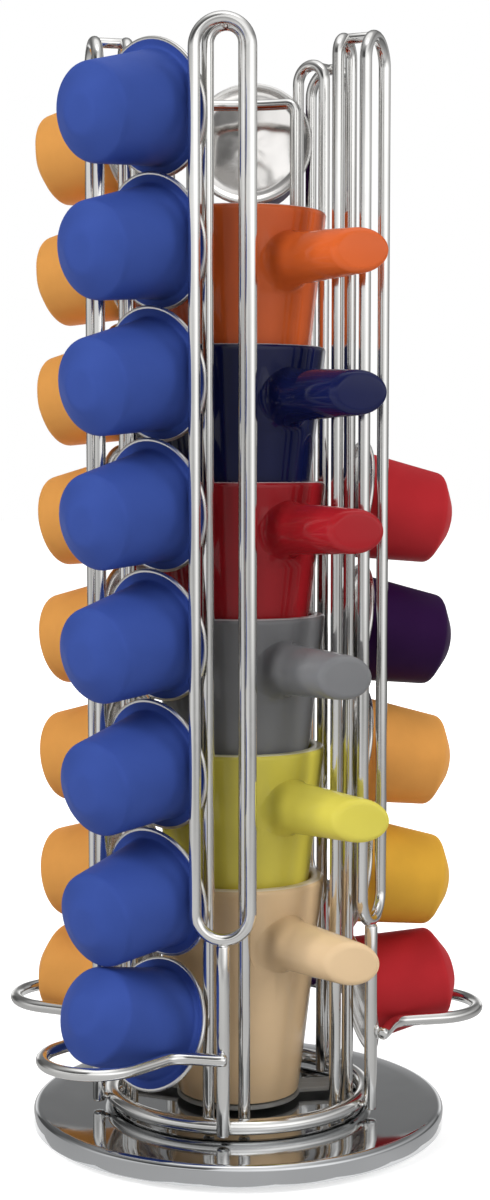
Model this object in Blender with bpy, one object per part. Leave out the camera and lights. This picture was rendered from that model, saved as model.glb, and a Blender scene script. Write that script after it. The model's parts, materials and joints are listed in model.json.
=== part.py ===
"""Revolving coffee capsule tower with a stack of espresso cups.

Metres, +Z up. The origin is on the table under the tower's axis.
Azimuths are measured from the front (-Y), turning towards +X.
"""
import math

import bmesh
import bpy
from mathutils import Matrix, Vector

# Shared clearances
FIT_GAP = 0.0003
RUNNING_CLEARANCE = 0.00008
CUT_OVERRUN = 0.004

# Base, turntable rivet and hub
FOOT_RADIUS = 0.0523
FOOT_THICKNESS = 0.0014
BASE_RADIUS = 0.0586
BASE_THICKNESS = 0.0059
BASE_TOP_BEVEL = 0.0008
BASE_FOOT_BEVEL = 0.0004
RIVET_RADIUS = 0.003
RIVET_HEAD_RADIUS = 0.0055
RIVET_HEAD_THICKNESS = 0.0014
RIVET_TAIL_RADIUS = 0.0045
RIVET_TAIL_THICKNESS = 0.0015
COUNTERBORE_RADIUS = 0.007
COUNTERBORE_DEPTH = 0.003
WASHER_RADIUS = 0.010
WASHER_THICKNESS = 0.0008
HUB_RADIUS = 0.0176
HUB_THICKNESS = 0.0012
HUB_ARM_WIDTH = 0.0095

# Tower frame wires
RING_RADIUS = 0.0361
RING_WIRE = 0.0022
RING_CLEARANCE = 0.0007
LOOP_WIRE = 0.00165
LOOP_TOP = 0.304
OUTER_LOOP_BOTTOM = 0.0628
OUTER_LOOP_HALF_WIDTH = 0.0074
INNER_LOOP_HALF_WIDTH = 0.00485
POST_WIRE = 0.0018
POST_BOTTOM = 0.0090
INNER_LEG_BOTTOM = 0.0086
SPACER_WIRE = 0.0014
BRIDGE_WIRE = 0.0016
BRIDGE_DROP = 0.0108
BRIDGE_LEG = 0.0455
BRIDGE_INSET = 0.0035
BRIDGE_CORNER = 0.0026
BRIDGE_BEND = math.radians(14.0)

# Stop wire under the capsule columns
STOP_WIRE = 0.0017
STOP_HEIGHT = 0.0312
STOP_HALF_WIDTH = 0.0146
STOP_STRAIGHT_START = 0.0456
STOP_STRAIGHT_END = 0.0564
STOP_POST_EASE = 0.0057
STOP_SIDE_EASE = 0.0048
STOP_END_OVERSHOOT = 0.0015

# Capsule
CAPSULE_RIM_RADIUS = 0.0185
CAPSULE_RIM_THICKNESS = 0.0013
CAPSULE_COLLAR_RADIUS = 0.0152
CAPSULE_SHOULDER_RADIUS = 0.0130
CAPSULE_SHOULDER_DEPTH = 0.0240
CAPSULE_SLOPE_RADIUS = 0.0124
CAPSULE_SLOPE_DEPTH = 0.0251
CAPSULE_NOSE_RADIUS = 0.0055
CAPSULE_NOSE_DEPTH = 0.0291

# Espresso cup
CUP_HEIGHT = 0.0620
CUP_RIM_RADIUS = 0.0246
CUP_FOOT_RADIUS = 0.0173
CUP_WALL = 0.00399
CUP_NEST_GAP = 0.0004
CUP_FLOOR = 0.0057
CUP_FLOOR_FILLET = 0.003
CUP_LIP = 0.0008
CUP_FOOT_RING = 0.003
CUP_FOOT_RECESS = 0.0022
HANDLE_ROOT_RADIUS = 0.0088
HANDLE_NECK_RADIUS = 0.0070
HANDLE_NECK_LENGTH = 0.0057
HANDLE_TIP_RADIUS = 0.0059
HANDLE_REACH = 0.0530

# Layout
FRONT_STATION_AZIMUTH = math.radians(-5.87)
STATIONS = ("front", "right", "back_right", "back_left", "left")
STATION_PITCH = 2 * math.pi / len(STATIONS)
HANDLE_CUT_AZIMUTH = 0.0
SECOND_CAPSULE_HEIGHT = 0.0727
COLUMN_PITCH = {"blue": 0.03518, "gold": 0.0347, "back": 0.0351, "right": 0.0351}
COLUMN_COUNT = {"blue": 8, "gold": 8, "back": 8, "right": 5}
HELD_TILT = math.radians(10.0)
BOTTOM_TILT = {"blue": -17.0, "gold": -7.0, "back": -7.0, "right": -10.0}
BOTTOM_LID_DISTANCE = {"blue": 0.0338, "gold": 0.0336, "back": 0.0336, "right": 0.0346}
COLUMN_AFTER_STATION = {"right": "right", "back": "back_right", "gold": "back_left", "blue": "left"}
CUPS_BOTTOM_UP = ("cup_beige", "cup_lime", "cup_grey", "cup_red", "cup_navy", "cup_orange")
HANDLE_AZIMUTH = {
    "cup_beige": 35.9,
    "cup_lime": 39.0,
    "cup_grey": 32.8,
    "cup_red": 36.5,
    "cup_navy": 37.4,
    "cup_orange": 37.7,
}
HANDLE_DROP = {
    "cup_beige": 0.0157,
    "cup_lime": 0.0149,
    "cup_grey": 0.0137,
    "cup_red": 0.0127,
    "cup_navy": 0.0138,
    "cup_orange": 0.0144,
}

# Facet counts
DISC_SEGMENTS = 64
SMALL_SEGMENTS = 32
RING_SEGMENTS = 56
CAPSULE_SEGMENTS = 16
CUP_SEGMENTS = 24
HANDLE_SEGMENTS = 16
WIRE_SIDES = 8
RING_SIDES = 8
STOP_SIDES = 8
ARC_STEPS = 8
EASE_STEPS = 5
ARM_ARC_STEPS = 4
SEAT_STEPS = 40

# Colour, roughness, metallic
MATERIALS = {
    "chrome": ((0.80, 0.80, 0.82), 0.10, 1.0),
    "base_chrome": ((0.74, 0.75, 0.77), 0.06, 1.0),
    "zinc": ((0.62, 0.63, 0.65), 0.35, 1.0),
    "nylon": ((0.86, 0.86, 0.82), 0.45, 0.0),
    "rubber": ((0.05, 0.05, 0.05), 0.80, 0.0),
    "blue": ((0.06, 0.10, 0.42), 0.35, 0.6),
    "gold": ((0.72, 0.40, 0.10), 0.35, 0.6),
    "purple": ((0.05, 0.02, 0.10), 0.35, 0.6),
    "red": ((0.55, 0.03, 0.05), 0.35, 0.6),
    "yellow": ((0.78, 0.48, 0.06), 0.35, 0.6),
    "cup_orange": ((0.80, 0.20, 0.04), 0.15, 0.0),
    "cup_navy": ((0.02, 0.02, 0.12), 0.12, 0.0),
    "cup_red": ((0.55, 0.02, 0.05), 0.12, 0.0),
    "cup_grey": ((0.30, 0.31, 0.33), 0.18, 0.0),
    "cup_lime": ((0.62, 0.68, 0.08), 0.18, 0.0),
    "cup_beige": ((0.75, 0.60, 0.42), 0.22, 0.0),
}
RIGHT_COLUMN_COLOURS = ("red", "yellow", "gold", "purple", "red")

# Heights worked out from the stack-up of the base
BASE_BOTTOM = FOOT_THICKNESS + FIT_GAP
BASE_TOP = BASE_BOTTOM + BASE_THICKNESS
WASHER_BOTTOM = BASE_TOP + FIT_GAP
HUB_BOTTOM = WASHER_BOTTOM + WASHER_THICKNESS + FIT_GAP
HUB_TOP = HUB_BOTTOM + HUB_THICKNESS
RIVET_HEAD_BOTTOM = HUB_TOP + FIT_GAP
RIVET_TAIL_TOP = BASE_BOTTOM + COUNTERBORE_DEPTH - FIT_GAP
RING_HEIGHT = BASE_TOP + RING_CLEARANCE + RING_WIRE
BORE_RADIUS = RIVET_RADIUS + RUNNING_CLEARANCE

# Radii of the wires that stand against each other
POST_RADIUS = RING_RADIUS + RING_WIRE + FIT_GAP + POST_WIRE
INNER_LEG_RADIUS = RING_RADIUS - RING_WIRE - FIT_GAP - LOOP_WIRE
BRIDGE_HEIGHT = LOOP_TOP - BRIDGE_DROP
INNER_LOOP_RADIUS = math.sqrt(INNER_LEG_RADIUS ** 2 - INNER_LOOP_HALF_WIDTH ** 2)
STOP_POST_RADIUS = POST_RADIUS + POST_WIRE + FIT_GAP + STOP_WIRE

# Cup stack
CUP_SLOPE = (CUP_RIM_RADIUS - CUP_FOOT_RADIUS) / CUP_HEIGHT
CUP_PITCH = (CUP_WALL + CUP_NEST_GAP) / CUP_SLOPE
CUP_STACK_BOTTOM = HUB_TOP + FIT_GAP


def station_azimuth(name):
    """Azimuth of a station's centre line."""
    return FRONT_STATION_AZIMUTH + STATIONS.index(name) * STATION_PITCH


def column_azimuth(column):
    """Azimuth of a capsule column, midway between two stations."""
    return station_azimuth(COLUMN_AFTER_STATION[column]) + STATION_PITCH / 2


def outward(azimuth):
    """Unit vector from the axis at an azimuth."""
    return Vector((math.sin(azimuth), -math.cos(azimuth), 0))


def sideways(azimuth):
    """Unit vector square to outward, in the direction of growing azimuth."""
    return Vector((math.cos(azimuth), math.sin(azimuth), 0))


def place(azimuth, distance, offset, height):
    """Point at a distance out, an offset to the side and a height."""
    return outward(azimuth) * distance + sideways(azimuth) * offset + Vector((0, 0, height))


def arc(centre, first, second, radius, start, end, steps):
    """Points of an arc in the plane of two unit vectors."""
    points = []
    for step in range(steps + 1):
        angle = start + (end - start) * step / steps
        points.append(centre + (first * math.cos(angle) + second * math.sin(angle)) * radius)
    return points


def clear_scene():
    """Start from an empty scene."""
    for item in list(bpy.data.objects):
        bpy.data.objects.remove(item, do_unlink=True)


def material(name):
    """Principled material from the table, made once."""
    found = bpy.data.materials.get(name)
    if found:
        return found
    colour, roughness, metallic = MATERIALS[name]
    made = bpy.data.materials.new(name)
    made.use_nodes = True
    shader = made.node_tree.nodes["Principled BSDF"]
    shader.inputs["Base Color"].default_value = (*colour, 1)
    shader.inputs["Roughness"].default_value = roughness
    shader.inputs["Metallic"].default_value = metallic
    made.diffuse_color = (*colour, 1)
    return made


def finish_mesh(shape, name):
    """Turn a bmesh into a mesh with outward faces and smooth shading."""
    bmesh.ops.recalc_face_normals(shape, faces=shape.faces)
    mesh = bpy.data.meshes.new(name)
    shape.to_mesh(mesh)
    shape.free()
    mesh.shade_smooth()
    mesh.set_sharp_from_angle(angle=math.radians(35))
    return mesh


def add_object(name, mesh, material_name, parent=None):
    """Link a mesh as a named object."""
    item = bpy.data.objects.new(name, mesh)
    bpy.context.collection.objects.link(item)
    if mesh.materials:
        item.material_slots[0].link = 'OBJECT'
        item.material_slots[0].material = material(material_name)
    else:
        mesh.materials.append(material(material_name))
    item.parent = parent
    return item


def lathe(profile, segments):
    """Solid of revolution about Z from (radius, height) points.

    A profile that starts and ends on the axis closes there; any other is a closed outline.
    """
    shape = bmesh.new()
    rings = []
    for radius, height in profile:
        if radius == 0:
            rings.append([shape.verts.new((0, 0, height))])
            continue
        ring = []
        for step in range(segments):
            angle = 2 * math.pi * step / segments
            ring.append(shape.verts.new((radius * math.cos(angle), radius * math.sin(angle), height)))
        rings.append(ring)
    pairs = list(zip(rings, rings[1:]))
    if profile[0][0] > 0:
        pairs.append((rings[-1], rings[0]))
    for low, high in pairs:
        for step in range(segments):
            following = (step + 1) % segments
            corners = [low[step % len(low)], low[following % len(low)],
                       high[following % len(high)], high[step % len(high)]]
            shape.faces.new(list(dict.fromkeys(corners)))
    return shape


def sweep(points, radius, sides, closed=False):
    """Round wire along points, with flat ends unless closed."""
    shape = bmesh.new()
    count = len(points)
    tangents = []
    for index, point in enumerate(points):
        before = points[index - 1] if closed or index > 0 else point
        after = points[(index + 1) % count] if closed or index < count - 1 else point
        into = (point - before).normalized()
        out = (after - point).normalized()
        tangents.append((into + out).normalized())
    side = tangents[0].orthogonal().normalized()
    rings = []
    for point, tangent in zip(points, tangents):
        side = (side - tangent * side.dot(tangent)).normalized()
        up = tangent.cross(side)
        ring = []
        for step in range(sides):
            angle = 2 * math.pi * step / sides
            ring.append(shape.verts.new(point + (side * math.cos(angle) + up * math.sin(angle)) * radius))
        rings.append(ring)
    pairs = list(zip(rings, rings[1:]))
    if closed:
        pairs.append((rings[-1], rings[0]))
    for near, far in pairs:
        for step in range(sides):
            following = (step + 1) % sides
            shape.faces.new((near[step], near[following], far[following], far[step]))
    if not closed:
        shape.faces.new(rings[0])
        shape.faces.new(rings[-1])
    return shape


def combine(mesh, tool, operation):
    """Boolean of two meshes; the tool mesh is used up."""
    target = bpy.data.objects.new("boolean_target", mesh)
    cutter = bpy.data.objects.new("boolean_tool", tool)
    for item in (target, cutter):
        bpy.context.collection.objects.link(item)
    modifier = target.modifiers.new("boolean", 'BOOLEAN')
    modifier.operation = operation
    modifier.solver = 'EXACT'
    modifier.object = cutter
    evaluated = target.evaluated_get(bpy.context.evaluated_depsgraph_get())
    result = bpy.data.meshes.new_from_object(evaluated)
    for item in (target, cutter):
        bpy.data.objects.remove(item, do_unlink=True)
    bpy.data.meshes.remove(tool)
    return result


# Base and turntable


def build_base():
    """Base plate, rubber foot, rivet and washer, which stay still."""
    foot = lathe(((0, 0), (FOOT_RADIUS, 0), (FOOT_RADIUS, FOOT_THICKNESS), (0, FOOT_THICKNESS)),
                 DISC_SEGMENTS)
    add_object("foot_pad", finish_mesh(foot, "foot_pad"), "rubber")
    plate = lathe((
        (BORE_RADIUS, BASE_BOTTOM + COUNTERBORE_DEPTH),
        (COUNTERBORE_RADIUS, BASE_BOTTOM + COUNTERBORE_DEPTH),
        (COUNTERBORE_RADIUS, BASE_BOTTOM),
        (BASE_RADIUS - BASE_FOOT_BEVEL, BASE_BOTTOM),
        (BASE_RADIUS, BASE_BOTTOM + BASE_FOOT_BEVEL),
        (BASE_RADIUS, BASE_TOP - BASE_TOP_BEVEL),
        (BASE_RADIUS - BASE_TOP_BEVEL, BASE_TOP),
        (BORE_RADIUS, BASE_TOP),
    ), DISC_SEGMENTS)
    add_object("base_disc", finish_mesh(plate, "base_disc"), "base_chrome")
    washer = lathe((
        (BORE_RADIUS, WASHER_BOTTOM),
        (WASHER_RADIUS, WASHER_BOTTOM),
        (WASHER_RADIUS, WASHER_BOTTOM + WASHER_THICKNESS),
        (BORE_RADIUS, WASHER_BOTTOM + WASHER_THICKNESS),
    ), SMALL_SEGMENTS)
    add_object("bearing_washer", finish_mesh(washer, "bearing_washer"), "nylon")
    rivet = lathe((
        (0, RIVET_TAIL_TOP - RIVET_TAIL_THICKNESS),
        (RIVET_TAIL_RADIUS, RIVET_TAIL_TOP - RIVET_TAIL_THICKNESS),
        (RIVET_TAIL_RADIUS, RIVET_TAIL_TOP),
        (RIVET_RADIUS, RIVET_TAIL_TOP),
        (RIVET_RADIUS, RIVET_HEAD_BOTTOM),
        (RIVET_HEAD_RADIUS, RIVET_HEAD_BOTTOM),
        (RIVET_HEAD_RADIUS, RIVET_HEAD_BOTTOM + RIVET_HEAD_THICKNESS / 2),
        (RIVET_HEAD_RADIUS / 2, RIVET_HEAD_BOTTOM + RIVET_HEAD_THICKNESS),
        (0, RIVET_HEAD_BOTTOM + RIVET_HEAD_THICKNESS),
    ), SMALL_SEGMENTS)
    add_object("pivot_rivet", finish_mesh(rivet, "pivot_rivet"), "zinc")


def hub_outline(arm_azimuths):
    """Plan of the hub: a disc with arms that end just inside the ring."""
    half = HUB_ARM_WIDTH / 2
    arm_reach = RING_RADIUS - RING_WIRE - FIT_GAP
    root_half_angle = math.asin(half / HUB_RADIUS)
    tip_half_angle = math.asin(half / arm_reach)
    points = []
    ordered = sorted(angle % (2 * math.pi) for angle in arm_azimuths)
    for index, azimuth in enumerate(ordered):
        for step in range(ARM_ARC_STEPS + 1):
            angle = azimuth - tip_half_angle + 2 * tip_half_angle * step / ARM_ARC_STEPS
            points.append(outward(angle) * arm_reach)
        following = ordered[(index + 1) % len(ordered)]
        start = azimuth + root_half_angle
        end = following - root_half_angle
        if end < start:
            end += 2 * math.pi
        steps = max(2, round((end - start) / (2 * math.pi) * SMALL_SEGMENTS))
        for step in range(steps + 1):
            points.append(outward(start + (end - start) * step / steps) * HUB_RADIUS)
    return points


def build_hub(tower):
    """Hub plate that carries the cups and is welded to the ring."""
    shape = bmesh.new()
    arms = [column_azimuth(name) for name in ("right", "back", "gold")]
    lower = [shape.verts.new(point + Vector((0, 0, HUB_BOTTOM))) for point in hub_outline(arms)]
    face = shape.faces.new(lower)
    grown = bmesh.ops.extrude_face_region(shape, geom=[face])
    raised = [item for item in grown["geom"] if isinstance(item, bmesh.types.BMVert)]
    bmesh.ops.translate(shape, verts=raised, vec=(0, 0, HUB_THICKNESS))
    plate = finish_mesh(shape, "hub_plate")
    bore = lathe((
        (0, HUB_BOTTOM - CUT_OVERRUN),
        (BORE_RADIUS, HUB_BOTTOM - CUT_OVERRUN),
        (BORE_RADIUS, HUB_TOP + CUT_OVERRUN),
        (0, HUB_TOP + CUT_OVERRUN),
    ), SMALL_SEGMENTS)
    plate = combine(plate, finish_mesh(bore, "hub_bore"), 'DIFFERENCE')
    add_object("hub_plate", plate, "zinc", tower)


# Wire frame of the tower


def build_ring(tower):
    """Bottom ring of thick wire."""
    centre = Vector((0, 0, RING_HEIGHT))
    points = arc(centre, Vector((1, 0, 0)), Vector((0, 1, 0)), RING_RADIUS, 0, 2 * math.pi, RING_SEGMENTS)
    shape = sweep(points[:-1], RING_WIRE, RING_SIDES, closed=True)
    add_object("base_ring", finish_mesh(shape, "base_ring"), "chrome", tower)


def build_post(station, tower):
    """Short post from outside the ring up to the outer loop."""
    azimuth = station_azimuth(station)
    top = OUTER_LOOP_BOTTOM - LOOP_WIRE - FIT_GAP
    points = [place(azimuth, POST_RADIUS, 0, POST_BOTTOM), place(azimuth, POST_RADIUS, 0, top)]
    shape = sweep(points, POST_WIRE, WIRE_SIDES)
    name = "post_" + station
    add_object(name, finish_mesh(shape, name), "chrome", tower)


def build_outer_loop(station, tower):
    """Closed upright loop that stands on its post."""
    azimuth = station_azimuth(station)
    side = sideways(azimuth)
    up = Vector((0, 0, 1))
    half = OUTER_LOOP_HALF_WIDTH
    top_centre = place(azimuth, POST_RADIUS, 0, LOOP_TOP - half)
    bottom_centre = place(azimuth, POST_RADIUS, 0, OUTER_LOOP_BOTTOM + half)
    points = arc(top_centre, side, up, half, 0, math.pi, ARC_STEPS)
    points += arc(bottom_centre, side, up, half, math.pi, 2 * math.pi, ARC_STEPS)
    shape = sweep(points, LOOP_WIRE, WIRE_SIDES, closed=True)
    name = "outer_loop_" + station
    add_object(name, finish_mesh(shape, name), "chrome", tower)


def build_inner_loop(station, tower):
    """Inverted U inside the ring, with the spacer that meets the outer loop."""
    azimuth = station_azimuth(station)
    side = sideways(azimuth)
    half = INNER_LOOP_HALF_WIDTH
    centre = place(azimuth, INNER_LOOP_RADIUS, 0, LOOP_TOP - half)
    points = [place(azimuth, INNER_LOOP_RADIUS, half, INNER_LEG_BOTTOM)]
    points += arc(centre, side, Vector((0, 0, 1)), half, 0, math.pi, ARC_STEPS)
    points.append(place(azimuth, INNER_LOOP_RADIUS, -half, INNER_LEG_BOTTOM))
    loop = finish_mesh(sweep(points, LOOP_WIRE, WIRE_SIDES), "inner_loop")
    spacer_end = POST_RADIUS - LOOP_WIRE - FIT_GAP
    spacer_line = [place(azimuth, INNER_LOOP_RADIUS, 0, LOOP_TOP), place(azimuth, spacer_end, 0, LOOP_TOP)]
    spacer = finish_mesh(sweep(spacer_line, SPACER_WIRE, WIRE_SIDES), "spacer")
    name = "inner_loop_" + station
    add_object(name, combine(loop, spacer, 'UNION'), "chrome", tower)


def leg_position(radius, offset):
    """Distance out and sideways of a station's leg, seen from the column beside it."""
    angle = STATION_PITCH / 2
    distance = radius * math.cos(angle) + offset * math.sin(angle)
    lateral = radius * math.sin(angle) - offset * math.cos(angle)
    return distance, lateral


def build_bridge(tower):
    """Cross wire between the two inner loops behind the cups, its ends turned down as legs.

    The legs stand inside the loops' legs, and the wire between them bows outwards past the cups.
    """
    azimuth = column_azimuth("back")
    leg_distance, leg_lateral = leg_position(INNER_LOOP_RADIUS, INNER_LOOP_HALF_WIDTH)
    spacing = LOOP_WIRE + FIT_GAP + BRIDGE_WIRE
    distance = leg_distance - BRIDGE_INSET
    half = leg_lateral - math.sqrt(spacing ** 2 - BRIDGE_INSET ** 2)
    across = math.cos(BRIDGE_BEND)
    inwards = math.sin(BRIDGE_BEND)
    bow_radius = (half - BRIDGE_CORNER * across) / inwards
    bow_distance = distance + BRIDGE_CORNER * inwards - bow_radius * across
    out = outward(azimuth)
    side = sideways(azimuth)
    ends = []
    for hand in (1, -1):
        way = side * (hand * across) - out * inwards
        corner = place(azimuth, distance, hand * half, BRIDGE_HEIGHT - BRIDGE_CORNER) - way * BRIDGE_CORNER
        bend = arc(corner, way, Vector((0, 0, 1)), BRIDGE_CORNER, 0, math.pi / 2, ARC_STEPS // 2)
        ends.append([place(azimuth, distance, hand * half, BRIDGE_HEIGHT - BRIDGE_LEG)] + bend[:-1])
    centre = place(azimuth, bow_distance, 0, BRIDGE_HEIGHT)
    bow = arc(centre, out, side, bow_radius, BRIDGE_BEND, -BRIDGE_BEND, ARC_STEPS)
    shape = sweep(ends[0] + bow + ends[1][::-1], BRIDGE_WIRE, WIRE_SIDES)
    add_object("back_bridge", finish_mesh(shape, "back_bridge"), "chrome", tower)


def ease_curve(start, start_way, end, end_way):
    """Cubic curve between two points, each with its own leaving vector."""
    first = start + start_way
    second = end - end_way
    points = []
    for step in range(EASE_STEPS + 1):
        share = step / EASE_STEPS
        rest = 1 - share
        points.append(start * rest ** 3 + first * (3 * rest * rest * share)
                      + second * (3 * rest * share * share) + end * share ** 3)
    return points


def stop_lobe(column):
    """One lobe of the stop wire, from the post before its column to the post after."""
    azimuth = column_azimuth(column)
    out = outward(azimuth)
    side = sideways(azimuth)
    half_pitch = STATION_PITCH / 2
    points = []
    for hand in (-1, 1):
        station = azimuth + hand * half_pitch
        post = place(station, STOP_POST_RADIUS, 0, STOP_HEIGHT)
        leave = sideways(station) * (-hand * STOP_POST_EASE)
        bend = place(azimuth, STOP_STRAIGHT_START, hand * STOP_HALF_WIDTH, STOP_HEIGHT)
        curve = ease_curve(post, leave, bend, out * STOP_SIDE_EASE)
        if hand < 0:
            points += curve
            tip = place(azimuth, STOP_STRAIGHT_END, 0, STOP_HEIGHT)
            points += arc(tip, -side, out, STOP_HALF_WIDTH, 0, math.pi, ARC_STEPS)
        else:
            points += curve[::-1]
    return points


def build_stop_wire(tower):
    """One wire that runs past the outside of the posts and holds up the four columns."""
    points = []
    for column in ("right", "back", "gold", "blue"):
        lobe = stop_lobe(column)
        points += lobe if not points else lobe[1:]
    first = sideways(station_azimuth("right")) * STOP_END_OVERSHOOT
    last = sideways(station_azimuth("front")) * STOP_END_OVERSHOOT
    points = [points[0] - first] + points + [points[-1] + last]
    shape = sweep(points, STOP_WIRE, STOP_SIDES)
    add_object("stop_wire", finish_mesh(shape, "stop_wire"), "chrome", tower)


# Capsules


def capsule_mesh():
    """Sealed capsule, lid at the origin and nose towards +Z."""
    return finish_mesh(lathe((
        (0, 0),
        (CAPSULE_RIM_RADIUS, 0),
        (CAPSULE_RIM_RADIUS, CAPSULE_RIM_THICKNESS),
        (CAPSULE_COLLAR_RADIUS, CAPSULE_RIM_THICKNESS),
        (CAPSULE_SHOULDER_RADIUS, CAPSULE_SHOULDER_DEPTH),
        (CAPSULE_SLOPE_RADIUS, CAPSULE_SLOPE_DEPTH),
        (CAPSULE_NOSE_RADIUS, CAPSULE_NOSE_DEPTH),
        (0, CAPSULE_NOSE_DEPTH),
    ), CAPSULE_SEGMENTS), "capsule")


def lid_distance(tilt):
    """How far out a lid stands when its rim leans on the two outer wires."""
    wire_distance, wire_lateral = leg_position(POST_RADIUS, OUTER_LOOP_HALF_WIDTH)
    reach = LOOP_WIRE + FIT_GAP
    nearest = wire_distance
    for step in range(-SEAT_STEPS, SEAT_STEPS + 1):
        rise = CAPSULE_RIM_RADIUS * step / SEAT_STEPS
        across = wire_lateral - math.sqrt(CAPSULE_RIM_RADIUS ** 2 - rise ** 2)
        if abs(across) < reach:
            wire_face = wire_distance - math.sqrt(reach ** 2 - across ** 2)
            rim_depth = CAPSULE_RIM_THICKNESS * math.cos(tilt) + rise * math.sin(tilt)
            nearest = min(nearest, wire_face - rim_depth)
    return nearest


def bottom_capsule_height(tilt, lid):
    """Height of a lowest capsule's lid centre when its body lies on the stop wire."""
    body_length = CAPSULE_SHOULDER_DEPTH - CAPSULE_RIM_THICKNESS
    narrowing = (CAPSULE_COLLAR_RADIUS - CAPSULE_SHOULDER_RADIUS) / body_length
    highest = 0
    for step in range(SEAT_STEPS + 1):
        distance = STOP_STRAIGHT_START + (STOP_STRAIGHT_END - STOP_STRAIGHT_START) * step / SEAT_STEPS
        depth = (distance - lid) / math.cos(tilt)
        body_radius = CAPSULE_COLLAR_RADIUS - (depth - CAPSULE_RIM_THICKNESS) * narrowing
        spacing = body_radius / math.cos(tilt) + STOP_WIRE + FIT_GAP
        rise = math.sqrt(max(spacing ** 2 - STOP_HALF_WIDTH ** 2, 0))
        highest = max(highest, STOP_HEIGHT + rise + depth * math.sin(tilt))
    return highest


def build_capsules(tower):
    """Four columns of capsules, lids towards the axis."""
    mesh = capsule_mesh()
    for column, count in COLUMN_COUNT.items():
        azimuth = column_azimuth(column)
        for index in range(count):
            if index == 0:
                tilt = math.radians(BOTTOM_TILT[column])
                distance = BOTTOM_LID_DISTANCE[column]
                height = bottom_capsule_height(tilt, distance)
            else:
                tilt = HELD_TILT
                distance = lid_distance(tilt)
                height = SECOND_CAPSULE_HEIGHT + (index - 1) * COLUMN_PITCH[column]
            colour = {"back": "purple", "right": RIGHT_COLUMN_COLOURS[index % len(RIGHT_COLUMN_COLOURS)]}
            name = f"capsule_{column}_{index + 1}"
            item = add_object(name, mesh, colour.get(column, column), tower)
            item.location = place(azimuth, distance, 0, height)
            item.rotation_euler = (0, math.pi / 2 + tilt, azimuth - math.pi / 2)


# Cups


def handle_mesh(height):
    """Tapered peg handle towards +X at a height above the foot."""
    wall_radius = CUP_FOOT_RADIUS + height * CUP_SLOPE
    start = wall_radius - CUP_WALL + HANDLE_ROOT_RADIUS * CUP_SLOPE + FIT_GAP
    neck = wall_radius + HANDLE_NECK_LENGTH
    overrun = HANDLE_REACH + 2 * HANDLE_TIP_RADIUS + CUT_OVERRUN
    taper = (HANDLE_NECK_RADIUS - HANDLE_TIP_RADIUS) / (HANDLE_REACH - neck)
    flare = HANDLE_ROOT_RADIUS - HANDLE_NECK_RADIUS
    flare_steps = ARC_STEPS // 2
    profile = [(0, start), (HANDLE_ROOT_RADIUS, start)]
    for step in range(flare_steps + 1):
        angle = math.pi / 2 * step / flare_steps
        profile.append((HANDLE_ROOT_RADIUS - flare * math.sin(angle),
                        neck - (neck - wall_radius) * math.cos(angle)))
    profile += [(HANDLE_NECK_RADIUS - taper * (overrun - neck), overrun), (0, overrun)]
    shape = lathe(profile, HANDLE_SEGMENTS)
    bmesh.ops.transform(shape, matrix=Matrix.Rotation(math.pi / 2, 4, 'Y'), verts=shape.verts)
    bmesh.ops.translate(shape, verts=shape.verts, vec=(0, 0, height))
    return shape


def cup_mesh(handle_azimuth, handle_height):
    """Cup about Z with its foot at the origin and its handle towards +X, cut square to the front."""
    inner_floor = CUP_FOOT_RADIUS + CUP_FLOOR * CUP_SLOPE - CUP_WALL
    ring_inside = CUP_FOOT_RADIUS - CUP_FOOT_RING
    body = finish_mesh(lathe((
        (0, CUP_FOOT_RECESS),
        (ring_inside - CUP_FOOT_RECESS, CUP_FOOT_RECESS),
        (ring_inside, 0),
        (CUP_FOOT_RADIUS, 0),
        (CUP_RIM_RADIUS - CUP_LIP * CUP_SLOPE, CUP_HEIGHT - CUP_LIP),
        (CUP_RIM_RADIUS - CUP_LIP, CUP_HEIGHT),
        (CUP_RIM_RADIUS - CUP_WALL + CUP_LIP, CUP_HEIGHT),
        (CUP_RIM_RADIUS - CUP_WALL - CUP_LIP * CUP_SLOPE, CUP_HEIGHT - CUP_LIP),
        (inner_floor + CUP_FLOOR_FILLET * CUP_SLOPE, CUP_FLOOR + CUP_FLOOR_FILLET),
        (inner_floor - CUP_FLOOR_FILLET, CUP_FLOOR),
        (0, CUP_FLOOR),
    ), CUP_SEGMENTS), "cup_body")
    peg = handle_mesh(handle_height)
    normal = Matrix.Rotation(HANDLE_CUT_AZIMUTH - handle_azimuth, 3, 'Z') @ Vector((1, 0, 0))
    centre = Vector((HANDLE_REACH, 0, handle_height))
    geometry = peg.verts[:] + peg.edges[:] + peg.faces[:]
    cut = bmesh.ops.bisect_plane(peg, geom=geometry, plane_co=centre, plane_no=normal, clear_outer=True)
    rim = [item for item in cut["geom_cut"] if isinstance(item, bmesh.types.BMEdge)]
    bmesh.ops.edgeloop_fill(peg, edges=rim)
    return combine(body, finish_mesh(peg, "peg"), 'UNION')


def build_cups():
    """Six nested cups, each turned so that its handle leaves through the open gap."""
    for index, name in enumerate(CUPS_BOTTOM_UP):
        azimuth = math.radians(HANDLE_AZIMUTH[name])
        item = add_object(name, cup_mesh(azimuth, CUP_HEIGHT - HANDLE_DROP[name]), name)
        item.location = (0, 0, CUP_STACK_BOTTOM + index * CUP_PITCH)
        item.rotation_euler = (0, 0, azimuth - math.pi / 2)


def main():
    clear_scene()
    build_base()
    tower = bpy.data.objects.new("tower_axis", None)
    bpy.context.collection.objects.link(tower)
    build_hub(tower)
    build_ring(tower)
    for station in STATIONS:
        build_post(station, tower)
        build_outer_loop(station, tower)
        build_inner_loop(station, tower)
    build_bridge(tower)
    build_stop_wire(tower)
    build_capsules(tower)
    build_cups()


main()
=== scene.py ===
"""Looks of the revolving coffee capsule tower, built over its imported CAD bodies."""
import json
import math

import bmesh
import bpy
import numpy as np
from mathutils import Matrix, Vector


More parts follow.
